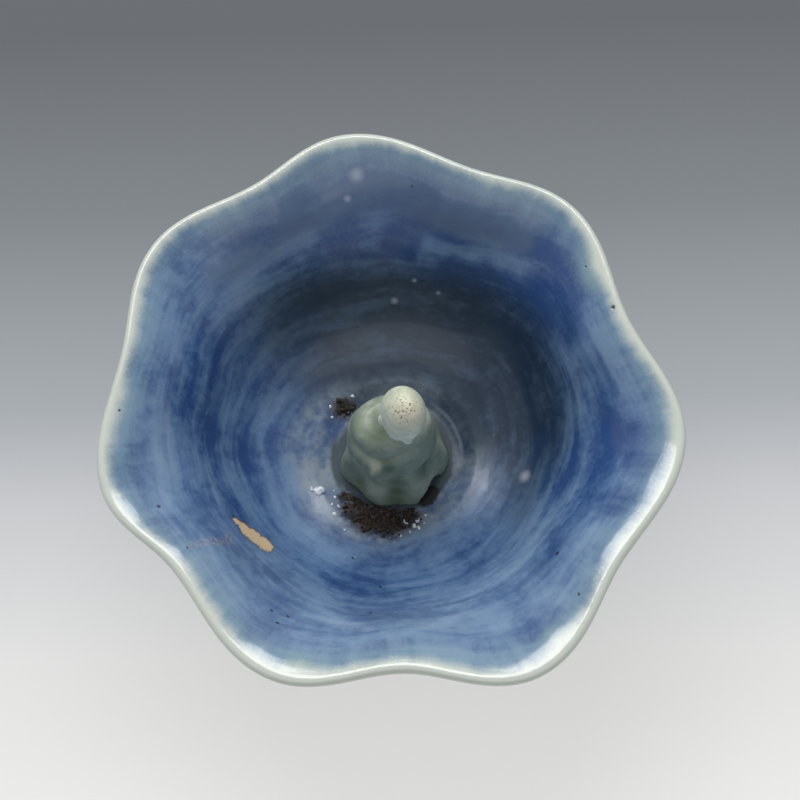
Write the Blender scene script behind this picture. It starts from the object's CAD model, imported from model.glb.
"""Glazed stoneware siphon cup: a lobed flaring bowl on a foot ring, with a robed figure in its well."""

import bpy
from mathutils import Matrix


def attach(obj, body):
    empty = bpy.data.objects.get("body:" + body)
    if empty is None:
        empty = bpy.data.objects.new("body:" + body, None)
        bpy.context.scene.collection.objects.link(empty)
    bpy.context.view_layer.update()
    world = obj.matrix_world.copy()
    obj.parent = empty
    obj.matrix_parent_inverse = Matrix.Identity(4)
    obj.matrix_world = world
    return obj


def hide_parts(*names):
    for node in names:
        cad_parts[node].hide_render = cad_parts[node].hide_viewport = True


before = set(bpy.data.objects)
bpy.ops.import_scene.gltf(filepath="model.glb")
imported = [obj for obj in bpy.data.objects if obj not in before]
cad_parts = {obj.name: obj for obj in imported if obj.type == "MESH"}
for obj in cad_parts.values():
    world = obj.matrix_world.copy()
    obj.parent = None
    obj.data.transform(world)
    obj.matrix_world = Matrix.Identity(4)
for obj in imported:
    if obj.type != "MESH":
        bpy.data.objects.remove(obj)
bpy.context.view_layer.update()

import bisect
import math
import random

import bmesh
import bpy
from mathutils import Euler, Matrix, Vector

bl_info = {
    "name": "Glazed Siphon Cup",
    "version": (1, 0, 0),
    "blender": (4, 5, 0),
    "location": "View3D > Sidebar > Siphon Cup",
    "description": "Builds a lobed siphon cup with a small robed figure and its glazes",
    "category": "Add Mesh",
}

MM = 0.001


def linear(code):
    """Linear colour of a six-digit screen colour."""
    channels = [int(code[k : k + 2], 16) / 255 for k in (0, 2, 4)]
    return tuple(c / 12.92 if c <= 0.04045 else ((c + 0.055) / 1.055) ** 2.4 for c in channels)


def length(name, description, size):
    """A length property in metres, given in millimetres."""
    return bpy.props.FloatProperty(
        name=name, description=description, default=size * MM, unit="LENGTH", subtype="DISTANCE", precision=5
    )


def colour(name, description, code):
    return bpy.props.FloatVectorProperty(
        name=name, description=description, default=linear(code), size=3, min=0, max=1, subtype="COLOR"
    )


def share(name, description, size):
    return bpy.props.FloatProperty(name=name, description=description, default=size, subtype="FACTOR")


def power(name, description, watts):
    return bpy.props.FloatProperty(name=name, description=description, default=watts, unit="POWER")


def turn(name, description, degrees):
    return bpy.props.FloatProperty(
        name=name, description=description, default=math.radians(degrees), unit="ROTATION", subtype="ANGLE"
    )


class CupSizes(bpy.types.PropertyGroup):
    """Sizes of the bowl and its foot."""

    height: length("Height", "Ground to the top of the lip", 39.6)
    mouth: length("Mouth radius", "Mean radius of the lobed mouth", 51.3)
    lip: length("Lip", "Thickness of the rounded lip", 2.2)
    wall: length("Wall", "Thickness of the wall above the foot", 3.4)
    floor: length("Floor", "Thickness of the floor", 4.0)
    flat: length("Flat", "Radius of the flat floor under the figure", 10.6)
    groove: length("Groove", "Radius of the groove round the figure", 11.6)
    groove_depth: length("Groove depth", "Depth of the groove round the figure", 0.4)
    drain: length("Drain", "Radius of the drain hole", 1.3)
    foot_height: length("Foot height", "Height of the foot ring", 7.0)
    foot_outer: length("Foot outside", "Outer radius of the foot ring at its top", 20.4)
    foot_inner: length("Foot inside", "Inner radius of the foot ring", 16.6)
    foot_round: length("Foot edge", "Rounding of the ground edges of the foot", 0.8)
    foot_flare: length("Foot flare", "How far the foot spreads towards the ground", 0.9)


class FigureSizes(bpy.types.PropertyGroup):
    """Sizes of the robed figure."""

    hem: length("Hem radius", "Radius of the robe at the floor", 9.7)
    robe_height: length("Robe height", "Height of the robe to the neck", 20.6)
    robe_wall: length("Robe wall", "Thickness of the robe", 2.1)
    robe_lean: length("Robe lean", "How far the shoulders lean to one side", 0.3)
    fold: length("Fold", "Reach of the hanging folds", 0.6)
    sleeve: length("Sleeve", "Thickness of the sleeves", 1.4)
    sleeve_half: length("Sleeve half height", "Half the height of a sleeve at the shoulder", 4.5)
    sleeve_hang: length("Sleeve hang", "How far the lower edge of a sleeve stands off", 0.5)
    sleeve_tuck: length("Sleeve tuck", "How deep the shoulder edge of a sleeve sinks in", 2)
    cuff: length("Cuff swell", "Reach of the swell where the cuffs meet", 1.7)
    cuff_spread: length("Cuff spread", "Spread of the swell where the cuffs meet", 1.4)
    cuff_turn: turn("Cuff direction", "Direction of the cuffs, from +X", -118)
    inlet_turn: turn("Inlet direction", "Direction of the opening under the hem, from +X", -50)
    inlet_half: length("Inlet half width", "Half the width of the opening under the hem", 3.2)
    inlet_height: length("Inlet height", "Height of the opening under the hem", 3.2)
    head_half_width: length("Head half width", "Half the width of the head", 4.0)
    head_half_depth: length("Head half depth", "Half the depth of the head", 4.8)
    head_half_height: length("Head half height", "Half the height of the head", 6.4)
    head_rise: length("Head rise", "Foot of the neck to the middle of the head", 8.3)
    neck: length("Neck", "Radius of the neck", 2.2)
    neck_foot: length("Neck foot", "Floor of the well to the foot of the neck", 18.2)
    head_aside: length("Head aside", "How far the neck stands beside the middle of the robe", 0.8)
    head_tilt: turn("Head tilt", "Lean of the head to one side", 10)
    head_turn: turn("Head turn", "Turn of the head about the neck", 10)
    head_nod: turn("Head nod", "Lean of the head to the front", 9)


class GlazeColours(bpy.types.PropertyGroup):
    """Colours of the glazes, the bare clay and the burnt grit."""

    deep: colour("Deep cobalt", "Thickest blue", "2b4c83")
    cobalt: colour("Cobalt", "Main blue", "4e73a1")
    wash: colour("Wash", "Thin blue where the brush left little", "8aa3bd")
    teal: colour("Teal", "Blue that runs out into the pale lip", "86a2aa")
    haze: colour("Haze", "Grey-blue under the far lobes", "4e6484")
    slate: colour("Slate", "Blue-black on the dark side of the well", "11263b")
    ring: colour("Ring", "Dark pooled ring round the robe", "2c3c44")
    smoke: colour("Smoke", "Grey-green stain in the slate", "32424a")
    cloud: colour("Cloud", "Pale grey clouds round the figure", "7c8994")
    celadon: colour("Celadon", "Pale green of the lip and outside", "d2d8ce")
    robe: colour("Robe green", "Grey-green of the robe", "93a08e")
    robe_pool: colour("Robe pool", "Darker green in the hollows", "43553c")
    bloom: colour("Bloom", "Cream-grey bloom on the ridges of the robe", "adb2a3")
    head: colour("Head cream", "Pale green cream of the head", "d3dabf")
    glow: colour("Head under the brow", "Paler cream low on the head", "e9efda")
    blush: colour("Blush", "Warm clay under the thin glaze of the crown", "eadcc8")
    speck: colour("Speck", "Iron specks and pinholes", "5f4630")
    chip: colour("Chip", "Bare clay where the glaze flaked", "c6ab84")
    grit: colour("Grit", "Burnt grit", "1e1611")
    soot: colour("Soot", "Black in the crevice under the hem", "070605")
    bead: colour("Bead", "Clear beads of glaze beside the grit", "cfd2dc")
    biscuit: colour("Bare clay", "Unglazed foot", "c9b397")


# Each lobe and dip of the mouth: degrees from +X, and reach as a share of the mouth radius.
LOBES = (
    (15, 0.897), (44, 0.996), (64, 0.947), (93, 1.06), (114, 0.977), (136, 1.05), (162, 0.96),
    (190, 1.036), (212, 0.941), (242, 1.053), (266, 0.96), (292, 1.102), (319, 0.984), (344, 1.041),
)
# Inside of the bowl before the lobes: radius as a share of the mouth's, and rise as a share of the depth.
WELL = (
    (0.29, 0.045), (0.37, 0.083), (0.478, 0.172), (0.556, 0.29), (0.632, 0.45),
    (0.702, 0.62), (0.795, 0.806), (0.89, 0.93), (0.965, 0.985),
)
# Outline of the robe: half width and half depth as shares of the hem radius, and share of the height.
ROBE = (
    (1.0, 1.0, 0.0), (0.985, 0.985, 0.07), (0.93, 0.9, 0.2), (0.84, 0.78, 0.36), (0.745, 0.68, 0.52),
    (0.735, 0.65, 0.66), (0.775, 0.635, 0.78), (0.72, 0.56, 0.9), (0.5, 0.38, 0.975),
)
# Forms of the face: degrees aside and up, spread each way in degrees, and reach as a share of the
# head's. FACE lies on the middle line, and FACE_PAIRS on both sides of it.
FACE = (
    (0, 8, 26, 5, 0.06), (0, -11, 7, 12, 0.08), (0, -24, 8, 5, 0.12), (0, -37, 13, 3, 0.09),
    (0, -45, 10, 3.4, 0.09), (0, -41, 14, 1.6, -0.08), (0, -61, 30, 8, 0.14),
)
FACE_PAIRS = (
    (23, -4, 11, 8, -0.12), (23, -6, 9, 3.6, 0.1), (9, -26, 4.5, 4, 0.06), (42, -30, 17, 13, 0.09),
)
# Ears in millimetres: half sizes, how far they sink in, and drop from the middle of the head.
EAR, EAR_SINK, EAR_DROP = (0.7, 0.95, 1.7), 0.25, 1.2
# Heaps of grit: middle and half spread in degrees, nearest and farthest in millimetres, and crumbs.
GRIT = ((-111, 38, 10.4, 17.0, 420), (128, 8, 12.0, 15.6, 44))
# Millimetres that a heap draws in towards its ends, and from its near edge to where it is thickest.
HEAP_DRAW, HEAP_CREST = 1.8, 0.4
# Smallest, largest and usual crumb in millimetres.
CRUMB = (0.14, 0.75, 0.18)
# Shape of a crumb as shares of its size: thinnest side, swing of its corners, and lift of its middle.
CRUMB_THIN, CRUMB_JAG, CRUMB_LIFT = 0.4, 0.3, 0.1
# Beads of glaze beside the grit: degrees from +X, radius and size in millimetres.
BEADS = (
    (-159, 15.4, 1.0), (-162, 16.4, 0.6), (-140, 15.9, 0.4), (-143, 14.2, 0.4), (-147, 14.9, 0.3),
    (-151, 13.6, 0.35), (-156, 13.0, 0.25), (-138, 13.4, 0.3), (-134, 16.6, 0.25), (-128, 17.4, 0.3),
    (-87, 13.2, 0.6), (-82, 14.4, 0.5), (-79, 15.0, 0.45), (-77, 13.4, 0.6), (-85, 15.4, 0.35),
    (-92, 15.9, 0.3), (-74, 14.4, 0.25), (-70, 13.0, 0.3), (-66, 13.9, 0.2), (-99, 16.3, 0.2),
    (135, 15.4, 0.4), (117, 14.2, 0.4), (127, 12.7, 0.35), (140, 14.0, 0.3),
)
# A bead is a few drops run together. As shares of the bead's size: the smallest drop and how far the drops
# scatter. As shares of a drop's length: its least and greatest width, and its height.
DROPS, DROP_SMALL, DROP_SCATTER, DROP_WIDTH, DROP_HEIGHT = 3, 0.55, 0.5, (0.3, 0.8), 0.6
# Seeds of the random draws for the grit and the beads.
GRIT_SEED, BEAD_SEED = 11, 5
# Marks in the glaze: degrees from +X, radius and size in millimetres. POOLS are thick blue, and GREEN is
# where the pale edge runs down. MILKY spots are clouded, and CREVICE lies under the lifted hem.
POOLS = (
    (-17, 45, 5.5), (-30, 43, 4), (24, 39, 5.5), (34, 36, 5.5), (30, 43, 5), (62, 33, 4), (80, 36.5, 4),
    (98, 37, 4.5), (-176, 44, 4), (-70, 49, 2.5),
)
CHIP = ((-155.5, 32.6, 0.7), (-152.5, 32.2, 1.5), (-149, 31.5, 2.1), (-145.5, 30.7, 1.9))
SPECKS = (
    (-47.5, 39.3, 0.42), (-163, 43.6, 0.38), (17.4, 48.9, 0.4), (-101, 27.4, 0.35), (-116, 21.8, 0.3),
    (-122, 39.5, 0.3), (-126, 40.3, 0.28), (78, 43.7, 0.25), (30, 46.5, 0.2), (-102, 35.4, 0.25),
    (-123, 41.5, 0.3), (-53, 46.6, 0.3), (170.5, 49.8, 0.3), (174, 48.2, 0.25), (-150, 46.0, 0.22),
)
GREEN = ((-114, 47, 3), (-62, 49, 3), (28, 48.5, 4))
MILKY = ((91, 44, 1.0), (-20, 24.8, 0.9), (94, 41, 0.5), (83, 28, 0.5), (76, 31, 0.35), (67, 30, 0.35))
SOOT = (
    (-146, 12.2, 1.2), (-132, 13.0, 2.5), (-118, 13.4, 3.3), (-100, 13.2, 3.5), (-84, 12.8, 2.6),
    (-62, 10.1, 1.4), (-52, 9.9, 1.2), (128, 13.8, 2.0),
)
CREVICE = ((-66, 10.2, 1.0), (-58, 10.0, 1.2), (-50, 9.8, 1.1))
# Where the robe's glaze pools and where it runs thin: place and size in millimetres, and strength.
ROBE_HOLLOWS = (
    (-2.1, 0.6, 31.2, 1.7, 0.8), (-2.1, -2.0, 31.2, 1.6, 0.7), (-6.6, 1.0, 29.6, 1.8, 0.4),
    (-7.6, -1.0, 27.5, 1.6, 0.3), (-7.7, -3.0, 24.4, 1.2, 0.6), (-6.4, -4.9, 24.6, 1.0, 0.6),
    (-4.9, -6.4, 24.4, 0.9, 0.7), (-1.2, -6.9, 25.2, 1.4, 0.8), (0.4, -7.0, 24.2, 1.4, 0.45),
    (0.0, -7.6, 17.8, 1.8, 0.6), (-0.4, -8.2, 15.5, 1.7, 0.8), (-0.6, -9.0, 13.0, 1.6, 0.7),
    (-6.7, -4.9, 14.7, 1.8, 0.5), (-8.6, -2.8, 16.7, 2.0, 0.5), (-4.6, -7.0, 18.4, 1.8, 0.3),
    (5.0, -5.6, 19.0, 2.2, 0.6),
)
ROBE_RIDGES = (
    (-3.5, 4.2, 29.9, 0.9, 0.6), (-3.8, 2.1, 30.9, 0.9, 0.6), (-4.2, 0.2, 31.0, 0.9, 0.5),
    (-3.3, -6.2, 25.4, 0.9, 0.8), (-4.5, -7.7, 15.6, 1.9, 0.8), (4.6, -8.2, 16.0, 1.6, 0.2),
    (9.1, -1.0, 16.2, 1.6, 0.4), (6.4, 1.0, 28.5, 2.2, 0.9), (-4.6, -7.2, 22.8, 0.9, 0.5),
    (-1.2, -8.0, 21.6, 1.0, 0.5), (2.1, -7.9, 21.8, 1.0, 0.5),
)
# Middle of the specks and of the warm patch on the crown of the head, in millimetres.
SPECKLED, WARM = (2.9, -2.9, 42.8), (3.0, -3.6, 42.8)
# The lobes start at a share of the depth, run on below it as ribs, and droop where they reach out.
LOBE_START, RIB, LOBE_DROOP = 0.34, 0.1, 0.13
# How far the chest is sunk in, as a share of its depth, and the shares of the robe's height where it
# starts to sink and is at its deepest.
CHEST, CHEST_RISE = 0.05, (0.45, 0.7)
# Waves round the skirt, their turn in radians and their share.
FOLDS = ((7, 1.85, 1), (4, -0.6, 0.5))
# Share of the folds' depth at the hem, and shares of the robe's height where they are at their deepest,
# and where they start to fade and are gone.
FOLD_HEM, FOLD_FULL, FOLD_FADE = 0.7, 0.2, (0.3, 0.6)
# Depth of the torn edge over the inlet, as a share of its height, and its waves.
TEAR, TEAR_WAVES = 0.12, 19
# Sleeves: CAD node, start and end in degrees from +X, 1 or -1 for the end that is blunt, and share of
# the full thickness.
SLEEVES = (("sleeve_left", 104, 256, 1, 1.1), ("sleeve_right", -132, 62, -1, 0.9))
# Shares of the robe's height at the shoulder and the cuff, share of the sleeve's height at the cuff, and
# rise of the swell there.
SLEEVE_SHOULDER, SLEEVE_CUFF, CUFF_NARROW, CUFF_LIFT = 0.72, 0.61, 0.62, 0.3
# Degrees from the cuffs at which a sleeve starts to climb and is at the shoulder.
CUFF_ARM = (12, 72)
# Narrowing of the jaw as a share, and power of its rounding.
JAW, JAW_FULLNESS = 0.16, 3
# How far the mesh of the head is gathered at the face.
FACE_DENSITY = 0.45
# Glaze run at the edge of the flat floor, in the groove, at the foot of the wall and outside the lip, then
# from the foot ring to the drain below.
FLAT_RUN, GROOVE_RUN, WALL_RUN, OUTSIDE_RUN, FOOT_RUNS = 0.07, 0.085, 0.1, 1.1, (2, 2.01, 2.05, 2.3)
# Millimetres from the foot ring to where the wall's outside stops, and rounding of the corner there.
FOOT_STOP, FOOT_FILLET = 1, 0.3
# Share of the wall's run over which its slope is taken.
SLOPE_STEP = 0.01
# Steps along the bowl's wall, round its lip, over its flat floor, round an edge of the foot and up its
# side, along the robe, and in the robe's table of heights.
WALL_STEPS, LIP_STEPS, FLOOR_STEPS, EDGE_STEPS, SIDE_STEPS, ROBE_STEPS, TABLE_STEPS = 44, 8, 8, 6, 8, 64, 240
# Steps round the turned pieces.
BOWL_TURN, FOOT_TURN, ROBE_TURN = 182, 224, 192
# Half the floor in metres, its nearest and farthest colour in millimetres, and where the colours lie.
FLOOR_HALF, FLOOR_NEAR, FLOOR_FAR = 8, -66, 96
FLOOR_STOPS = (0, 0.19, 0.38, 0.5, 0.75, 1)
# Linear colour of the even light.
SKY_TONE = (0.93, 0.96, 1)
# Kinds of ray that meet the backdrop and the floor as they look, without the cup's shade.
SEEN_RAYS = ("Is Camera Ray", "Is Glossy Ray", "Is Transmission Ray")
# Distance of the lamps from the foot of the cup, and their width and height, in metres.
LAMP_AWAY, KEY_SIZE, FILL_SIZE = 1.6, (1.5, 0.6), (2.2, 0.9)
# Side of the square photograph in pixels, pixels to a millimetre at the mouth of the cup, and width of the
# camera's sensor in millimetres.
PHOTO_SIDE, PHOTO_SCALE, SENSOR = 800, 5.66, 36


def smoothstep(value, low, high):
    t = min(max((value - low) / (high - low), 0), 1)
    return t * t * (3 - 2 * t)


def lerp(low, high, t):
    return low + (high - low) * t


def curve_through(knots, run):
    """A smooth curve through knots of any number of values, read at a share of its run."""
    last = len(knots) - 1
    at = min(run * last, last - 1e-9)
    start = int(at)
    before, here, ahead, beyond = (knots[min(max(start + k, 0), last)] for k in (-1, 0, 1, 2))
    t = at - start
    values = []
    for a, b, c, d in zip(before, here, ahead, beyond):
        slope_in, slope_out = (c - a) / 2, (d - b) / 2
        rest = 3 * (c - b) - 2 * slope_in - slope_out
        bend = 2 * (b - c) + slope_in + slope_out
        values.append(b + slope_in * t + rest * t * t + bend * t**3)
    return values


def rim_share(degrees):
    """Reach of the mouth in a direction, eased from lobe to dip."""
    here = degrees % 360
    above = next((k for k, lobe in enumerate(LOBES) if lobe[0] > here), 0)
    (start, low), (end, high) = LOBES[above - 1], LOBES[above]
    run = ((here - start) % 360) / ((end - start) % 360)
    return lerp(low, high, (1 - math.cos(math.pi * run)) / 2)


def lobed(point, cup):
    """Draws the round bowl out into its lobes, more and more towards the rim."""
    floor = cup.foot_height + cup.floor
    away = rim_share(math.degrees(math.atan2(point.y, point.x))) - 1
    start = floor + LOBE_START * (cup.height - floor)
    flare = smoothstep(point.z, start, cup.height)
    rib = RIB * smoothstep(point.z, floor, start)
    reach = 1 + away * (flare + rib * (1 - flare))
    droop = LOBE_DROOP * away * flare * cup.mouth
    return Vector((point.x * reach, point.y * reach, point.z - droop))


def bowl_outline(cup):
    """Closed outline of the bowl as (radius, height, run).

    Run grows from 0 at the drain to 1 at the lip, and past 1 outside.
    """
    floor = cup.foot_height + cup.floor
    depth = cup.height - floor
    knots = [(reach * cup.mouth, floor + rise * depth) for reach, rise in WELL]
    inner, outer = [], []
    for step in range(WALL_STEPS + 1):
        t = step / WALL_STEPS
        radius, height = curve_through(knots, t)
        back = Vector(curve_through(knots, max(t - SLOPE_STEP, 0)))
        along = (Vector(curve_through(knots, min(t + SLOPE_STEP, 1))) - back).normalized()
        thick = lerp(cup.wall, cup.lip, t)
        inner.append((radius, height, lerp(WALL_RUN, 1, t)))
        run = lerp(FOOT_RUNS[0], OUTSIDE_RUN, t)
        outer.append((radius + along.y * thick, height - along.x * thick, run))
    centre = (Vector(inner[-1][:2]) + Vector(outer[-1][:2])) / 2
    arm = Vector(inner[-1][:2]) - centre
    lip = []
    for step in range(1, LIP_STEPS):
        t = step / LIP_STEPS
        spot = centre + Matrix.Rotation(-math.pi * t, 2) @ arm
        lip.append((spot.x, spot.y, lerp(1, OUTSIDE_RUN, t)))
    outside = [spot for spot in reversed(outer) if spot[0] > cup.foot_outer + FOOT_STOP * MM]
    foot_top = outside[-1][1] - FOOT_STOP * MM
    fillet = FOOT_FILLET * MM
    start = []
    for step in range(FLOOR_STEPS + 1):
        t = step / FLOOR_STEPS
        start.append((lerp(cup.drain, cup.flat, t), floor, lerp(0, FLAT_RUN, t)))
    start.append((cup.groove, floor - cup.groove_depth, GROOVE_RUN))
    corners = [(cup.foot_outer + fillet, foot_top + fillet), (cup.foot_outer, foot_top)]
    corners += [(cup.foot_outer, cup.foot_height), (cup.drain, cup.foot_height)]
    end = [(*corner, run) for corner, run in zip(corners, FOOT_RUNS)]
    return start + inner + lip + outside + end


def finish_mesh(bm, name, slot, *nodes):
    """Turns a bmesh into a smooth piece on the root body that stands for the given CAD nodes."""
    bmesh.ops.recalc_face_normals(bm, faces=bm.faces)
    mesh = bpy.data.meshes.new(name)
    bm.to_mesh(mesh)
    bm.free()
    mesh.shade_smooth()
    piece = bpy.data.objects.new(name, mesh)
    bpy.context.scene.collection.objects.link(piece)
    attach(piece, "root")
    if nodes:
        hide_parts(*nodes)
    return piece


def rounded(piece):
    """Smooths a piece by one round of subdivision."""
    surface = piece.modifiers.new("rounded", "SUBSURF")
    surface.levels = surface.render_levels = 1
    return piece


def melted(piece, size, rounds):
    """Runs the forms of a piece into one soft skin of cells of a size in millimetres."""
    skin = piece.modifiers.new("skin", "REMESH")
    skin.mode, skin.voxel_size, skin.use_smooth_shade = "VOXEL", size * MM, True
    soft = piece.modifiers.new("soft", "SMOOTH")
    soft.factor, soft.iterations = 0.5, rounds
    return piece


def spun(outline, steps, closed=True):
    """A bmesh turned about Z from an outline of (radius, height, run)."""
    bm = bmesh.new()
    layer = bm.verts.layers.float.new("glaze_run")
    verts = []
    for radius, height, run in outline:
        vert = bm.verts.new((radius, 0, height))
        vert[layer] = run
        verts.append(vert)
    pairs = list(zip(verts, verts[1:])) + ([(verts[-1], verts[0])] if closed else [])
    edges = [bm.edges.new(pair) for pair in pairs]
    bmesh.ops.spin(
        bm, geom=verts + edges, cent=(0, 0, 0), axis=(0, 0, 1), dvec=(0, 0, 0),
        angle=math.tau, steps=steps, use_merge=True, use_duplicate=False,
    )
    bmesh.ops.remove_doubles(bm, verts=bm.verts, dist=1e-7)
    return bm


def make_bowl(cup):
    bm = spun(bowl_outline(cup), BOWL_TURN)
    for vert in bm.verts:
        vert.co = lobed(vert.co, cup)
    return rounded(finish_mesh(bm, "bowl_body", "blue_glaze", "cup_bowl"))


def make_foot(cup):
    inside, outside = cup.foot_inner, cup.foot_outer + cup.foot_flare
    edge = cup.foot_round
    outline = [(inside, cup.foot_height)]
    for step in range(EDGE_STEPS + 1):
        angle = math.pi / 2 * step / EDGE_STEPS
        outline.append((inside + edge * (1 - math.cos(angle)), edge * (1 - math.sin(angle))))
    for step in range(EDGE_STEPS + 1):
        angle = math.pi / 2 * step / EDGE_STEPS
        outline.append((outside - edge * (1 - math.sin(angle)), edge * (1 - math.cos(angle))))
    for step in range(1, SIDE_STEPS + 1):
        t = step / SIDE_STEPS
        outline.append((lerp(outside, cup.foot_outer, t), lerp(edge, cup.foot_height, t)))
    bm = spun([(radius, height, 0) for radius, height in outline], FOOT_TURN)
    return finish_mesh(bm, "foot_body", "foot_glaze", "foot_ring")


ROBE_TABLE = [curve_through(ROBE, step / TABLE_STEPS) for step in range(TABLE_STEPS + 1)]


def robe_section(rise, fig):
    """Half width, half depth and lean of the robe at a share of its height."""
    rise = min(max(rise, 0), 1)
    ahead = min(max(bisect.bisect([high for _, _, high in ROBE_TABLE], rise), 1), TABLE_STEPS)
    (near, close, low), (far, deep, high) = ROBE_TABLE[ahead - 1], ROBE_TABLE[ahead]
    t = (rise - low) / (high - low)
    return lerp(near, far, t) * fig.hem, lerp(close, deep, t) * fig.hem, fig.robe_lean * rise * rise


def fold(angle, rise, fig):
    """Ripple of the hanging folds, deepest low on the skirt."""
    ripple = sum(part * math.cos(waves * angle + turned) for waves, turned, part in FOLDS)
    fade = 1 - smoothstep(rise, *FOLD_FADE)
    return fig.fold * ripple * fade * lerp(FOLD_HEM, 1, smoothstep(rise, 0, FOLD_FULL))


def draped(point, cup, fig, sections):
    """Gives a turned robe its oval section, folds, lean and sunk chest."""
    floor = cup.foot_height + cup.floor
    rise = (point.z - floor) / fig.robe_height
    key = round(point.z, 7)
    if key not in sections:
        sections[key] = robe_section(rise, fig)
    wide, deep, lean = sections[key]
    angle = math.atan2(point.y, point.x)
    swell = 1 + fold(angle, rise, fig) / wide
    sunk = 1 - CHEST * smoothstep(rise, *CHEST_RISE) if point.y < 0 else 1
    return Vector((point.x * swell + lean, point.y * swell * deep / wide * sunk, point.z))


def robe_reach(angle, rise, fig):
    wide, deep, _ = robe_section(rise, fig)
    return 1 / math.hypot(math.cos(angle) / wide, math.sin(angle) / deep) + fold(angle, rise, fig)


def make_robe(cup, fig):
    """The hollow robe with its torn opening under the hem, and the sleeves luted on it."""
    floor = cup.foot_height + cup.floor
    outline = [(0, floor + fig.robe_height, 1)]
    sides = []
    for offset in (0, -fig.robe_wall):
        side = []
        for step in range(ROBE_STEPS + 1):
            wide, _, rise = curve_through(ROBE, step / ROBE_STEPS)
            side.append((wide * fig.hem + offset, floor + rise * fig.robe_height + offset * rise, rise))
        sides.append(side)
    outline += sides[0][::-1] + sides[1]
    outline.append((0, floor + fig.robe_height - fig.robe_wall, 1))
    bm = spun(outline, ROBE_TURN, closed=False)
    sections = {}
    for vert in bm.verts:
        vert.co = draped(vert.co, cup, fig, sections)
        away = math.atan2(vert.co.y, vert.co.x) - fig.inlet_turn
        across = (away + math.pi) % math.tau - math.pi
        across *= fig.hem / fig.inlet_half
        if abs(across) < 1 and vert.co.z < floor + 2 * fig.inlet_height:
            arch = fig.inlet_height * math.sqrt(1 - across * across)
            arch *= 1 + TEAR * math.sin(TEAR_WAVES * across)
            top = floor + 2 * fig.inlet_height
            vert.co.z = lerp(floor + arch, top, (vert.co.z - floor) / (top - floor))
    for _, start, end, side, full in SLEEVES:
        add_sleeve(bm, cup, fig, start, end, side, full)
    nodes = ["robe_front", "robe_back", *(name for name, *_ in SLEEVES)]
    return melted(finish_mesh(bm, "robe_and_sleeves", "robe_glaze", *nodes), size=0.22, rounds=4)


def add_sleeve(bm, cup, fig, start, end, side, full):
    """Adds a curved slab, tapered at the shoulder and blunt at the cuff."""
    floor = cup.foot_height + cup.floor
    made = bmesh.ops.create_uvsphere(bm, u_segments=72, v_segments=96, radius=1)
    for vert in made["verts"]:
        along, out, up = vert.co.z, vert.co.x, vert.co.y
        blunt = math.sqrt(1 + max(along * side, 0) ** 2)
        degrees = lerp(start, end, (1 + along) / 2)
        off = (degrees - math.degrees(fig.cuff_turn) + 180) % 360 - 180
        high = smoothstep(abs(off), *CUFF_ARM)
        middle = floor + fig.robe_height * lerp(SLEEVE_CUFF, SLEEVE_SHOULDER, high)
        half = fig.sleeve_half * lerp(CUFF_NARROW, 1, high)
        height = middle + up * blunt * half
        aside = math.radians(off) * fig.hem
        drop = (up - CUFF_LIFT) * half
        swell = fig.cuff * math.exp(-(aside**2 + drop**2) / fig.cuff_spread**2)
        rise = (height - floor) / fig.robe_height
        angle = math.radians(degrees)
        slope = lerp(fig.sleeve_hang, -fig.sleeve_tuck * high, (1 + up) / 2)
        reach = robe_reach(angle, rise, fig) + slope + out * blunt * full * (fig.sleeve + swell)
        lean = fig.robe_lean * min(max(rise, 0), 1) ** 2
        vert.co = Vector((reach * math.cos(angle) + lean, reach * math.sin(angle), height))


def face_share(degrees, rise):
    """Share of the head's reach that the face adds in one direction."""
    def bump(form, side):
        across = (degrees - side * form[0]) / form[2]
        up = (rise - form[1]) / form[3]
        return form[4] * math.exp(-(across * across + up * up) / 2)

    return sum(bump(form, 1) for form in FACE) + sum(bump(form, 1) + bump(form, -1) for form in FACE_PAIRS)


def head_frame(cup, fig):
    foot = Vector((fig.robe_lean + fig.head_aside, 0, cup.foot_height + cup.floor + fig.neck_foot))
    lean = Euler((fig.head_nod, fig.head_tilt, fig.head_turn), "ZYX")
    return Matrix.Translation(foot) @ lean.to_matrix().to_4x4()


def make_head(cup, fig):
    bm = bmesh.new()
    bmesh.ops.create_uvsphere(bm, u_segments=120, v_segments=96, radius=1)
    for vert in bm.verts:
        spread = math.atan2(vert.co.x, -vert.co.y)
        around = spread - FACE_DENSITY * math.sin(spread)
        level = math.hypot(vert.co.x, vert.co.y)
        rise = math.degrees(math.asin(min(max(vert.co.z, -1), 1)))
        low = min(max(-vert.co.z, 0), 1)
        full = math.sqrt((1 - low**JAW_FULLNESS) / max(1 - low * low, 1e-6))
        jaw = full * (1 - JAW * smoothstep(low, 0.1, 1)) if low < 1 else 1
        reach = (1 + face_share(math.degrees(around), rise)) * jaw * level
        vert.co = Vector((
            math.sin(around) * reach * fig.head_half_width,
            -math.cos(around) * reach * fig.head_half_depth,
            vert.co.z * fig.head_half_height + fig.head_rise,
        ))
    size = Matrix.Diagonal((*(half * MM for half in EAR), 1))
    for side in (-1, 1):
        aside = side * (fig.head_half_width - EAR_SINK * MM)
        place = Matrix.Translation((aside, 0, fig.head_rise - EAR_DROP * MM))
        bmesh.ops.create_uvsphere(bm, u_segments=32, v_segments=24, radius=1, matrix=place @ size)
    bmesh.ops.create_cone(
        bm, cap_ends=True, segments=48, radius1=fig.neck, radius2=fig.neck, depth=fig.head_rise,
        matrix=Matrix.Translation((0, 0, fig.head_rise / 2)),
    )
    bmesh.ops.transform(bm, matrix=head_frame(cup, fig), verts=bm.verts)
    return melted(finish_mesh(bm, "head_body", "head_glaze", "figure_head"), size=0.13, rounds=3)


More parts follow.
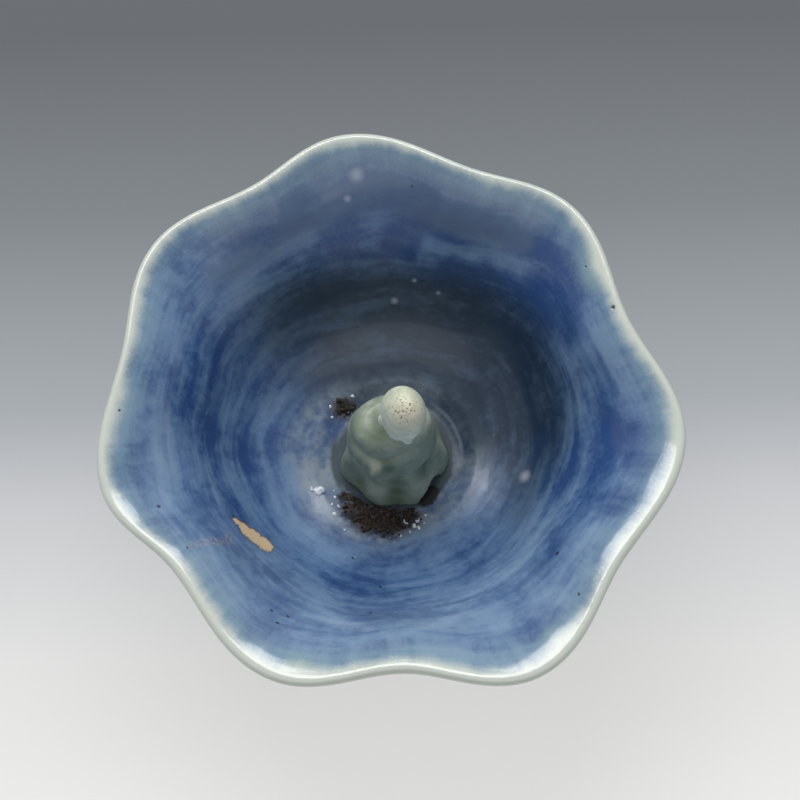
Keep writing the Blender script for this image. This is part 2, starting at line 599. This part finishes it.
def make_grit(cup):
    """Burnt kiln grit stuck in the glaze in front of the hem, with one lump behind a shoulder."""
    rng = random.Random(GRIT_SEED)
    bm = bmesh.new()
    for middle, spread, near, far, count in GRIT:
        for _ in range(count):
            aside = rng.triangular(-1, 1, 0)
            angle = math.radians(middle + spread * aside)
            radius = rng.triangular(near, far - HEAP_DRAW * abs(aside), near + HEAP_CREST) * MM
            size = rng.triangular(*CRUMB) * MM
            height = well_height(radius, cup) + CRUMB_LIFT * size
            spot = Vector((radius * math.cos(angle), radius * math.sin(angle), height))
            sides = [size * rng.uniform(CRUMB_THIN, 1) for _ in range(2)]
            shape = Matrix.Diagonal((size, *sides, 1))
            spin = Euler([rng.uniform(0, math.tau) for _ in range(3)]).to_matrix().to_4x4()
            place = Matrix.Translation(spot) @ spin @ shape
            made = bmesh.ops.create_icosphere(bm, subdivisions=1, radius=1, matrix=place)
            for vert in made["verts"]:
                vert.co += Vector([rng.uniform(-CRUMB_JAG, CRUMB_JAG) * size for _ in range(3)])
    return melted(finish_mesh(bm, "burnt_grit", "blue_glaze"), size=0.13, rounds=1)


def make_beads(cup):
    """Beads of clear glaze that boiled up beside the grit."""
    rng = random.Random(BEAD_SEED)
    bm = bmesh.new()
    for degrees, radius, size in BEADS:
        angle, radius = math.radians(degrees), radius * MM
        for _ in range(DROPS):
            long = size * rng.uniform(DROP_SMALL, 1) * MM
            spot = Vector((radius * math.cos(angle), radius * math.sin(angle), well_height(radius, cup)))
            right, ahead = (rng.uniform(-DROP_SCATTER, DROP_SCATTER) for _ in range(2))
            spot += Vector((right, ahead, 0)) * size * MM
            shape = Matrix.Diagonal((long, long * rng.uniform(*DROP_WIDTH), long * DROP_HEIGHT, 1))
            spin = Matrix.Rotation(rng.uniform(0, math.pi), 4, "Z")
            place = Matrix.Translation(spot) @ spin @ shape
            bmesh.ops.create_icosphere(bm, subdivisions=3, radius=1, matrix=place)
    return melted(finish_mesh(bm, "glaze_beads", "blue_glaze"), size=0.1, rounds=3)


def well_height(radius, cup):
    """Height of the inside of the round bowl at a radius."""
    floor = cup.foot_height + cup.floor
    knots = [(cup.flat, floor), (cup.groove, floor - cup.groove_depth)]
    knots += [(reach * cup.mouth, floor + rise * (cup.height - floor)) for reach, rise in WELL]
    for (near, low), (far, high) in zip(knots, knots[1:]):
        if near <= radius <= far:
            return lerp(low, high, (radius - near) / (far - near))
    return floor


class Shade:
    """A socket of a material. Arithmetic on it adds Math nodes."""

    def __init__(self, finish, socket):
        self.finish, self.socket = finish, socket

    def math(self, operation, *values):
        return self.finish.node("ShaderNodeMath", {"operation": operation}, dict(enumerate(values)))

    def __add__(self, other):
        return self.math("ADD", self, other)

    def __radd__(self, other):
        return self.math("ADD", other, self)

    def __sub__(self, other):
        return self.math("SUBTRACT", self, other)

    def __rsub__(self, other):
        return self.math("SUBTRACT", other, self)

    def __mul__(self, other):
        return self.math("MULTIPLY", self, other)

    def __truediv__(self, other):
        return self.math("DIVIDE", self, other)

    def __pow__(self, other):
        return self.math("POWER", self, other)

    def __neg__(self):
        return self.math("MULTIPLY", self, -1)

    def swing(self, size):
        """Noise as a swing to both sides of 0."""
        return (self - 0.5) * size


class Finish:
    """A material made of nodes, with one Principled shader."""

    def __init__(self, name, **constants):
        self.material = bpy.data.materials.new(name)
        self.material.use_nodes = True
        self.tree = self.material.node_tree
        self.shader = self.tree.nodes["Principled BSDF"]
        for socket, value in constants.items():
            self.shader.inputs[socket.replace("_", " ")].default_value = value
        self.surface = Shade(self, self.shader.outputs["BSDF"])
        place = self.node("ShaderNodeTexCoord", {}, {}, "Object")
        self.place = self.node("ShaderNodeVectorMath", {"operation": "SCALE"}, {0: place, "Scale": 1 / MM})

    def node(self, kind, settings, values, output=0):
        """Adds a node, sets it, fills its sockets with values or links, and returns one output.

        The setting named stops holds the (place, colour) stops of a colour ramp.
        """
        node = self.tree.nodes.new(kind)
        for name, value in settings.items():
            if name == "stops":
                ramp = node.color_ramp.elements
                ramp.remove(ramp[1])
                ramp[0].position, ramp[0].color = value[0][0], (*value[0][1], 1)
                for at, tone in value[1:]:
                    ramp.new(at).color = (*tone, 1)
            else:
                setattr(node, name, value)
        for name, value in values.items():
            if isinstance(value, Shade):
                self.tree.links.new(value.socket, node.inputs[name])
            else:
                node.inputs[name].default_value = value
        return Shade(self, node.outputs[output])

    def axes(self, vector):
        parts = self.node("ShaderNodeSeparateXYZ", {}, {0: vector}).socket.node.outputs
        return [Shade(self, part) for part in parts]

    def vector(self, x, y, z):
        return self.node("ShaderNodeCombineXYZ", {}, {0: x, 1: y, 2: z})

    def noise(self, vector, scale, detail=2.0, roughness=0.5, distortion=0.0):
        values = {"Vector": vector, "Scale": scale, "Detail": detail}
        values |= {"Roughness": roughness, "Distortion": distortion}
        return self.node("ShaderNodeTexNoise", {}, values)

    def step(self, value, low, high):
        """Eases from 0 at low to 1 at high."""
        settings = {"interpolation_type": "SMOOTHSTEP"}
        return self.node("ShaderNodeMapRange", settings, {"Value": value, "From Min": low, "From Max": high})

    def mix(self, under, over, factor):
        """Colour that goes from under to over."""
        under, over = (v if isinstance(v, Shade) else (*v, 1) for v in (under, over))
        return self.node("ShaderNodeMix", {"data_type": "RGBA"}, {"Factor": factor, 6: under, 7: over}, 2)

    def layered(self, tone, *layers):
        """Lays colours over a tone one after the other, each as (colour, mask)."""
        for over, mask in layers:
            tone = self.mix(tone, over, mask)
        return tone

    def attribute(self, name):
        return self.node("ShaderNodeAttribute", {"attribute_name": name}, {}, "Fac")

    def near(self, spot, size, soft=0.5, ragged=0):
        """Mask that is 1 within a distance in millimetres of a spot."""
        settings = {"operation": "DISTANCE"}
        away = self.node("ShaderNodeVectorMath", settings, {0: self.place, 1: spot}, "Value")
        return 1 - self.step(away + ragged, size * (1 - soft), size * (1 + soft))

    def spots(self, places, cup, soft, ragged=0):
        """Mask over several spots on the wall, each (degrees from +X, radius, size) in millimetres."""
        mask = None
        for degrees, radius, size in places:
            spot = self.near(on_wall(degrees, radius, cup), size, soft, ragged)
            mask = spot if mask is None else mask.math("MAXIMUM", mask, spot)
        return mask

    def blots(self, places, soft, ragged=0):
        """Mask over several spots, each (x, y, z, size, strength)."""
        mask = None
        for x, y, z, size, strength in places:
            spot = self.near((x, y, z), size, soft, ragged) * strength
            mask = spot if mask is None else mask.math("MAXIMUM", mask, spot)
        return mask

    def band(self, value, middle, half):
        """Mask that is 1 near a middle value and fades out past half the width."""
        away = value - middle
        return 1 - self.step(away.math("ABSOLUTE", away), half * 0.5, half * 1.5)

    def clamp(self, value):
        return self.node("ShaderNodeClamp", {}, {0: value})

    def finish(self, base, roughness=None, bump=None, height=0.1, reach=1.0):
        """Links the colour, roughness and bump, and returns the material."""
        for name, value in (("Base Color", base), ("Roughness", roughness)):
            if isinstance(value, Shade):
                self.tree.links.new(value.socket, self.shader.inputs[name])
        if bump is not None:
            values = {"Strength": reach, "Distance": height * MM, "Height": bump}
            normal = self.node("ShaderNodeBump", {}, values)
            self.tree.links.new(normal.socket, self.shader.inputs["Normal"])
        return self.material


def on_wall(degrees, radius, cup):
    """Place in millimetres on the lobed inside of the bowl."""
    angle, radius = math.radians(degrees), radius * MM
    spot = Vector((radius * math.cos(angle), radius * math.sin(angle), well_height(radius, cup)))
    return tuple(lobed(spot, cup) / MM)


class WellFinish(Finish):
    """The glaze of the bowl, with the directions and patterns that its layers share."""

    def __init__(self):
        super().__init__("cobalt_and_celadon_glaze", IOR=1.5, Coat_Weight=0.2, Coat_Roughness=0.06)
        x, y, z = self.axes(self.place)
        self.radius = (x * x + y * y) ** 0.5
        self.across, self.along = across, along = x / self.radius, y / self.radius
        self.run = self.attribute("glaze_run")
        # About the radius in millimetres, wandering so that the brush marks aren't true rings.
        self.lap = lap = self.run * 38.4 + 11 + self.noise(self.place, 0.035, 1.5).swing(9)
        self.arcs = self.noise(self.vector(lap * 0.3, across * 1.2, along * 1.2), 1.0, 3.0, 0.55)
        self.hairs = self.noise(self.vector(lap * 0.9, across * 2.2, along * 2.2), 1.0, 3.0, 0.55, 0.2)
        self.clouds = self.noise(self.place, 0.08, 3.0, 0.55, 0.3)
        self.mottle = self.noise(self.place, 0.5, 5.0, 0.62)
        self.grain = self.noise(self.place, 1.9, 3.0, 0.6)
        self.drips = self.noise(self.vector(z * 0.05, across * 16, along * 16), 1.0, 3.0, 0.5, 0.5)
        self.low = 1 - self.step(lap + (across - along) * 1.5, 29, 37.5)
        self.dim = self.step(across * 0.6 + along * 0.8 + self.clouds.swing(1), -0.35, 0.6)


def brushed_blue(f, cup, tones):
    """Cobalt in brush strokes, blue-black low on the far side and thin on the near side."""
    clouds, mottle, low, dim = f.clouds, f.mottle, f.low, f.dim
    brushed = f.arcs * 0.65 + f.hairs * 0.35
    main = f.step(clouds * 0.4 + brushed * 0.4 + mottle * 0.2, 0.4, 0.58)
    pools = f.spots(POOLS, cup, 0.5, clouds.swing(9))
    stain = low * dim * f.step(clouds * 0.4 + mottle * 0.25 + f.arcs * 0.35, 0.42, 0.6)
    strokes = low * dim * f.step(brushed * 0.7 + mottle * 0.3, 0.47, 0.66)
    nearer = f.step(clouds.swing(1.2) - f.along * 0.9 - f.across * 0.35, 0, 0.9) * (1 - low)
    thin = f.step(brushed * 0.6 + clouds * 0.25 + mottle * 0.15, 0.42, 0.66)
    thin = thin * (0.6 - low * (0.2 + dim * 0.34)) * (1 - pools * 0.7) + nearer * 0.3
    thin = thin + f.grain.swing(0.3) * (1 - low * dim)
    far = f.step(f.along + f.across * 0.1 + clouds.swing(1.2), 0.55, 0.85)
    far = far * f.step(f.lap + mottle.swing(4), 38, 41.5)
    return f.layered(
        f.mix(tones.deep, tones.cobalt, main),
        (tones.deep, pools * 0.85),
        (tones.slate, low * (dim * 0.78 + 0.2)),
        (tones.smoke, stain * 0.22),
        (tones.haze, strokes * 0.34),
        (tones.wash, f.clamp(thin)),
        (tones.haze, far * (0.85 - thin * 0.4)),
    )


def floor_clouds(f):
    """Mask of the pale clouds on the floor and of the broken collar round the figure."""
    cloudy = f.step(f.mottle * 0.35 + f.clouds * 0.65, 0.38, 0.62)
    collar = f.band(f.lap + f.clouds.swing(9), 14.5, 3.5) * (0.25 + cloudy * 0.75)
    collar = collar * (0.3 - f.dim * 0.25 + f.step(-f.across, 0, 0.8) * 0.45)
    inmost = 1 - f.step(f.lap, 12, 22)
    return f.clamp(inmost * cloudy * (0.8 - f.dim * 0.5) + collar)


def drag_marks(f):
    """Mask of the brown drag marks above the chip."""
    aside = (f.along * -0.866 + f.across * 0.5) * f.radius + f.clouds.swing(8) + f.mottle.swing(3)
    place = f.band(f.lap, 39.5, 3.5) * (1 - f.step(f.across, -0.6, -0.5))
    return f.band(aside, 0, 1.0) * place * f.step(f.grain, 0.4, 0.6)


def well_glaze(cup, tones):
    """Brushed cobalt inside, pale celadon on the lip and the outside, with the marks of the firing."""
    f = WellFinish()
    along, clouds, mottle, grain = f.along, f.clouds, f.mottle, f.grain
    fringe = f.step(f.run, 0.7, 1.0) * f.step(f.drips * 0.55 + clouds * 0.45, 0.42, 0.64)
    green = f.spots(GREEN, cup, 0.9, clouds.swing(9))
    edge = f.run + f.drips.swing(0.04) + clouds.swing(0.08) + green * 0.035 - along * 0.01
    fade = f.step(edge + grain.swing(0.08) + green * 0.04, 0.82, 0.97)
    shell = f.mix(tones.celadon, tones.wash, f.step(mottle * 0.5 + f.arcs * 0.5, 0.52, 0.72) * 0.2)
    ragged = mottle.swing(2.4) + grain.swing(1.4)
    chip = f.spots(CHIP, cup, 0.12, ragged)
    clay = f.mix(tones.chip, tones.biscuit, f.step(grain * 0.6 + mottle * 0.4, 0.4, 0.6))
    specks = f.spots(SPECKS, cup, 0.5)
    flat, groove = cup.flat / MM, cup.groove / MM
    shadow = 1 - f.step(f.radius + mottle.swing(1.6), flat, groove)
    soft = f.radius + mottle.swing(0.8)
    beside = f.band(soft, groove - 0.6, 1.0) * f.step(-f.across, 0.8, 0.97)
    shadow = shadow.math("MAXIMUM", shadow, beside)
    arc = f.band(soft, groove + 0.9, 0.3) * f.step(f.across + along * 0.4, 0.86, 1.05)
    soot = f.spots(SOOT, cup, 0.45, ragged + clouds.swing(2))
    tone = f.layered(
        brushed_blue(f, cup, tones),
        (tones.cloud, floor_clouds(f)),
        (tones.wash, f.clamp(fringe * (0.45 - along * 0.35))),
        (tones.chip, drag_marks(f) * 0.3),
        (tones.bead, f.spots(MILKY, cup, 1.0, mottle.swing(0.6)) * 0.38),
        (tones.teal, fade * (0.5 + green * 0.4)),
        (shell, f.step(edge + grain.swing(0.03), 0.93, 1.015)),
        (tones.speck, f.spots(CHIP, cup, 0.2, ragged - 0.35) * 0.6),
        (f.mix(clay, tones.speck, f.step(mottle, 0.56, 0.7) * 0.3), chip),
        (tones.grit, specks * 0.85),
        (tones.ring, shadow * 0.95),
        (tones.cloud, arc * 0.3),
        (f.mix(tones.grit, tones.speck, f.step(mottle, 0.48, 0.62) * 0.45), soot * 0.9),
        (tones.soot, f.spots(CREVICE, cup, 0.4)),
    )
    rough = 0.1 + f.clamp(chip + soot + shadow * 0.6) * 0.6 + mottle * 0.08 + f.low * 0.16
    bump = f.arcs * 0.4 + f.hairs * 0.25 + mottle * 0.3 - chip * 1.5 - specks * 0.8
    return f.finish(tone, rough, bump, 0.2, 0.5)


def foot_finish(tones):
    """Celadon glaze that stops above the bare ground face."""
    f = Finish("foot_ring_glaze", IOR=1.5)
    _, _, z = f.axes(f.place)
    mottle = f.noise(f.place, 0.4, 4.0, 0.6)
    bare = 1 - f.step(z + mottle.swing(1.2), 0.9, 1.3)
    glaze = f.mix(tones.celadon, tones.wash, mottle * 0.3)
    tone = f.mix(glaze, f.mix(tones.biscuit, tones.chip, mottle), bare)
    grain = f.noise(f.place, 3.0, 3.0)
    return f.finish(tone, 0.14 + bare * 0.6, mottle * 0.5 + grain * bare * 0.4, 0.15, 0.5)


def robe_finish(tones):
    """Grey-green glaze, darker where it pools."""
    f = Finish("robe_celadon_glaze", IOR=1.45)
    _, _, z = f.axes(f.place)
    mottle = f.noise(f.place, 0.45, 4.0, 0.6)
    clouds = f.noise(f.place, 0.14, 2.0)
    pool = 1 - f.step(z + clouds.swing(8), 11, 20)
    worn = f.step(z + clouds.swing(6) + mottle.swing(4), 27, 34) * 0.08
    tone = f.layered(
        f.mix(tones.robe, tones.robe_pool, f.clamp(pool * 0.1 + f.step(mottle, 0.4, 0.65) * 0.25)),
        (tones.robe_pool, f.blots(ROBE_HOLLOWS, 0.8, mottle.swing(1.6)) * 0.9),
        (tones.bloom, f.clamp(f.blots(ROBE_RIDGES, 0.8, mottle.swing(2)) + worn)),
    )
    return f.finish(tone, 0.3 + mottle * 0.1, clouds * 0.5 + mottle * 0.5, 0.4, 0.6)


def head_finish(tones):
    """Thin cream-green glaze with iron specks on the crown."""
    f = Finish("head_cream_glaze", IOR=1.45)
    mottle = f.noise(f.place, 0.5, 4.0, 0.6)
    _, _, z = f.axes(f.place)
    under = 1 - f.step(z + mottle.swing(3), 35, 45)
    grains = f.noise(f.place, 2.4, 3.0, 0.7)
    crown = f.near(SPECKLED, 2.6, 0.8) + 0.15
    speck = f.step(grains + crown * 0.13, 0.71, 0.75)
    blush = f.step(f.noise(f.place, 0.7, 3.0), 0.5, 0.7) * crown
    tone = f.layered(
        f.mix(tones.head, tones.glow, under * 0.95),
        (tones.robe, f.step(mottle, 0.46, 0.66) * 0.3),
        (tones.blush, f.clamp(blush * 0.5 + f.near(WARM, 3.4, 0.7) * 0.35)),
        (tones.speck, speck * 0.95),
    )
    return f.finish(tone, 0.36 + mottle * 0.12, mottle - speck, 0.3, 0.6)


def grit_finish(tones):
    """Glassy burnt grit."""
    f = Finish("burnt_grit", IOR=1.45)
    mottle = f.noise(f.place, 1.6, 4.0, 0.65)
    glassy = f.step(f.noise(f.place, 1.1, 2.0), 0.56, 0.64)
    tone = f.mix(tones.grit, tones.speck, f.step(mottle, 0.46, 0.66) * 0.5)
    return f.finish(tone, 0.75 - glassy * 0.65, mottle, 0.3, 0.8)


def bead_finish(tones):
    """Clear pale glaze with a little blue in it."""
    f = Finish("glaze_beads", IOR=1.5, Coat_Weight=0.4, Coat_Roughness=0.03)
    mottle = f.noise(f.place, 1.2, 3.0)
    tone = f.mix(tones.bead, tones.wash, f.step(mottle, 0.45, 0.7) * 0.6)
    return f.finish(tone, 0.08 + mottle * 0.1, mottle, 0.1, 0.4)


def make_floor():
    bm = bmesh.new()
    bmesh.ops.create_grid(bm, x_segments=1, y_segments=1, size=FLOOR_HALF)
    mesh = bpy.data.meshes.new("studio_floor")
    bm.to_mesh(mesh)
    bm.free()
    floor = bpy.data.objects.new("studio_floor", mesh)
    bpy.context.scene.collection.objects.link(floor)
    return floor


def floor_finish(studio):
    """Pale floor that darkens behind the cup, with part of its colour seen without shadow."""
    f = Finish("studio_floor", Roughness=0.9, Specular_IOR_Level=0.0)
    x, y, _ = f.axes(f.place)
    reach = {"Value": y + x * 0.1, "From Min": FLOOR_NEAR, "From Max": FLOOR_FAR}
    fade = f.node("ShaderNodeMapRange", {}, reach)
    tones = [studio.tone_1, studio.tone_2, studio.tone_3, studio.tone_4, studio.tone_5, studio.tone_6]
    tone = f.node("ShaderNodeValToRGB", {"stops": list(zip(FLOOR_STOPS, tones))}, {"Fac": fade})
    f.finish(tone)
    glow = f.node("ShaderNodeEmission", {}, {"Color": tone})
    seen = f.clamp(sum(f.node("ShaderNodeLightPath", {}, {}, kind) for kind in SEEN_RAYS))
    surface = f.node("ShaderNodeMixShader", {}, {0: seen * studio.floor_glow, 1: f.surface, 2: glow})
    f.tree.links.new(surface.socket, f.tree.nodes["Material Output"].inputs["Surface"])
    return f.material


def dress(piece, material):
    piece.data.materials.clear()
    piece.data.materials.append(material)


class StudioSettings(bpy.types.PropertyGroup):
    """Floor, light and camera."""

    tone_1: colour("Floor in front", "Floor colour in front of the cup", "f1f1ef")
    tone_2: colour("Floor near the front", "Floor colour under the front of the cup", "e6e6e5")
    tone_3: colour("Floor below", "Floor colour in front of the foot", "cccdd0")
    tone_4: colour("Floor beside", "Floor colour beside the cup", "abb0b4")
    tone_5: colour("Floor behind", "Floor colour behind the cup", "858a8f")
    tone_6: colour("Floor far behind", "Floor colour far behind the cup", "6d7176")
    floor_glow: share("Floor glow", "Share of the floor's colour that the camera sees without shadow", 0.7)
    camera_tilt: turn("Camera tilt", "Angle of the view from straight down", 20.5)
    camera_roll: turn("Camera roll", "Roll of the camera", -6.7528)
    camera_away: length("Camera distance", "Camera to the mouth of the cup", 520)
    camera_right: length("Camera right", "Shift of the camera to the right in the picture", 2.2)
    camera_top: length("Camera up", "Shift of the camera to the top of the picture", 0.62)
    key_turn: turn("Key direction", "Direction of the key light, from +X", 92)
    key_rise: turn("Key elevation", "Elevation of the key light", 50)
    key_power: power("Key", "Power of the key light", 20)
    fill_turn: turn("Fill direction", "Direction of the fill light, from +X", -95)
    fill_rise: turn("Fill elevation", "Elevation of the fill light", 62)
    fill_power: power("Fill", "Power of the fill light", 4)
    sky: share("Sky", "Strength of the even light", 0.3)
    backdrop: share("Backdrop", "Brightness of the backdrop", 0.5)


class SiphonOperator(bpy.types.Operator):
    """Shares the settings of the cup with every step."""

    bl_options = {"REGISTER", "UNDO"}

    def settings(self, context):
        scene = context.scene
        return scene.siphon_cup, scene.siphon_figure, scene.siphon_tones, scene.siphon_studio


class SIPHON_OT_bowl(SiphonOperator):
    """Add the lobed bowl"""

    bl_idname = "siphon.bowl"
    bl_label = "Bowl"

    def execute(self, context):
        cup, _, tones, _ = self.settings(context)
        dress(make_bowl(cup), well_glaze(cup, tones))
        return {"FINISHED"}


class SIPHON_OT_foot(SiphonOperator):
    """Add the foot ring"""

    bl_idname = "siphon.foot"
    bl_label = "Foot ring"

    def execute(self, context):
        cup, _, tones, _ = self.settings(context)
        dress(make_foot(cup), foot_finish(tones))
        return {"FINISHED"}


class SIPHON_OT_robe(SiphonOperator):
    """Add the hollow robe and its sleeves, and glaze the tube inside it"""

    bl_idname = "siphon.robe"
    bl_label = "Robe, sleeves and tube"

    def execute(self, context):
        cup, fig, tones, _ = self.settings(context)
        glaze = robe_finish(tones)
        dress(make_robe(cup, fig), glaze)
        dress(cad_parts["siphon_tube"], glaze)
        return {"FINISHED"}


class SIPHON_OT_head(SiphonOperator):
    """Add the head"""

    bl_idname = "siphon.head"
    bl_label = "Head"

    def execute(self, context):
        cup, fig, tones, _ = self.settings(context)
        dress(make_head(cup, fig), head_finish(tones))
        return {"FINISHED"}


class SIPHON_OT_grit(SiphonOperator):
    """Add the burnt grit on the floor of the well"""

    bl_idname = "siphon.grit"
    bl_label = "Burnt grit"

    def execute(self, context):
        cup, _, tones, _ = self.settings(context)
        dress(make_grit(cup), grit_finish(tones))
        dress(make_beads(cup), bead_finish(tones))
        return {"FINISHED"}


class SIPHON_OT_studio(SiphonOperator):
    """Add the floor, the lights and the camera"""

    bl_idname = "siphon.studio"
    bl_label = "Studio"

    def execute(self, context):
        cup, _, _, studio = self.settings(context)
        dress(make_floor(), floor_finish(studio))
        self.light(context, "key", studio.key_turn, studio.key_rise, KEY_SIZE, studio.key_power)
        self.light(context, "fill", studio.fill_turn, studio.fill_rise, FILL_SIZE, studio.fill_power)
        self.world(context, studio)
        self.camera(context, cup, studio)
        context.scene.view_settings.view_transform = "Standard"
        return {"FINISHED"}

    def world(self, context, studio):
        """A dim sky for the object, and a pale one behind it."""
        world = bpy.data.worlds.new("studio")
        context.scene.world = world
        world.use_nodes = True
        nodes, links = world.node_tree.nodes, world.node_tree.links
        back = nodes["Background"]
        back.inputs["Color"].default_value = (*SKY_TONE, 1)
        rays = nodes.new("ShaderNodeLightPath")
        seen = rays.outputs[SEEN_RAYS[0]]
        for kind in SEEN_RAYS[1:]:
            either = nodes.new("ShaderNodeMath")
            either.operation = "MAXIMUM"
            links.new(seen, either.inputs[0])
            links.new(rays.outputs[kind], either.inputs[1])
            seen = either.outputs[0]
        level = nodes.new("ShaderNodeMix")
        level.inputs[2].default_value = studio.sky
        level.inputs[3].default_value = studio.backdrop
        links.new(seen, level.inputs[0])
        links.new(level.outputs[0], back.inputs["Strength"])

    def light(self, context, name, around, rise, size, energy):
        """A rectangular softbox that faces the cup from a direction."""
        level = math.cos(rise)
        way = Vector((math.cos(around) * level, math.sin(around) * level, math.sin(rise)))
        data = bpy.data.lights.new(name, "AREA")
        data.shape = "RECTANGLE"
        data.energy, (data.size, data.size_y) = energy, size
        lamp = bpy.data.objects.new(name, data)
        lamp.location = way * LAMP_AWAY
        lamp.rotation_euler = way.to_track_quat("Z", "Y").to_euler()
        context.scene.collection.objects.link(lamp)

    def camera(self, context, cup, studio):
        """The camera of the photograph, tilted towards the front and a little rolled."""
        data = bpy.data.cameras.new("camera")
        tilt, roll = studio.camera_tilt, studio.camera_roll
        back = Vector((0, -math.sin(tilt), math.cos(tilt)))
        up = Vector((0, math.cos(tilt), math.sin(tilt)))
        side = Vector((1, 0, 0))
        right = side * math.cos(roll) + up * math.sin(roll)
        top = up * math.cos(roll) - side * math.sin(roll)
        place = Vector((0, 0, cup.height)) + back * studio.camera_away
        place += right * studio.camera_right + top * studio.camera_top
        data.sensor_width = SENSOR
        data.lens = PHOTO_SCALE * studio.camera_away / MM / PHOTO_SIDE * SENSOR
        data.clip_start, data.clip_end = 0.01, 20
        camera = bpy.data.objects.new("camera", data)
        camera.matrix_world = Matrix.Translation(place) @ Matrix((right, top, back)).transposed().to_4x4()
        context.scene.collection.objects.link(camera)
        context.scene.camera = camera


STEPS = (SIPHON_OT_bowl, SIPHON_OT_foot, SIPHON_OT_robe, SIPHON_OT_head, SIPHON_OT_grit, SIPHON_OT_studio)


class SIPHON_PT_panel(bpy.types.Panel):
    """Sizes, colours and steps of the cup."""

    bl_label = "Siphon Cup"
    bl_space_type = "VIEW_3D"
    bl_region_type = "UI"
    bl_category = "Siphon Cup"

    def draw(self, context):
        scene = context.scene
        for group in (scene.siphon_cup, scene.siphon_figure, scene.siphon_tones, scene.siphon_studio):
            box = self.layout.box()
            for name in group.__annotations__:
                box.prop(group, name)
        for step in STEPS:
            self.layout.operator(step.bl_idname)


GROUPS = {
    "siphon_cup": CupSizes,
    "siphon_figure": FigureSizes,
    "siphon_tones": GlazeColours,
    "siphon_studio": StudioSettings,
}


def register():
    for item in (*GROUPS.values(), *STEPS, SIPHON_PT_panel):
        bpy.utils.register_class(item)
    for name, group in GROUPS.items():
        setattr(bpy.types.Scene, name, bpy.props.PointerProperty(type=group))


def unregister():
    for name in GROUPS:
        delattr(bpy.types.Scene, name)
    for item in (SIPHON_PT_panel, *reversed(STEPS), *reversed(GROUPS.values())):
        bpy.utils.unregister_class(item)


def main():
    register()
    for step in STEPS:
        group, name = step.bl_idname.split(".")
        getattr(getattr(bpy.ops, group), name)()
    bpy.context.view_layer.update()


if __name__ == "__main__":
    main()
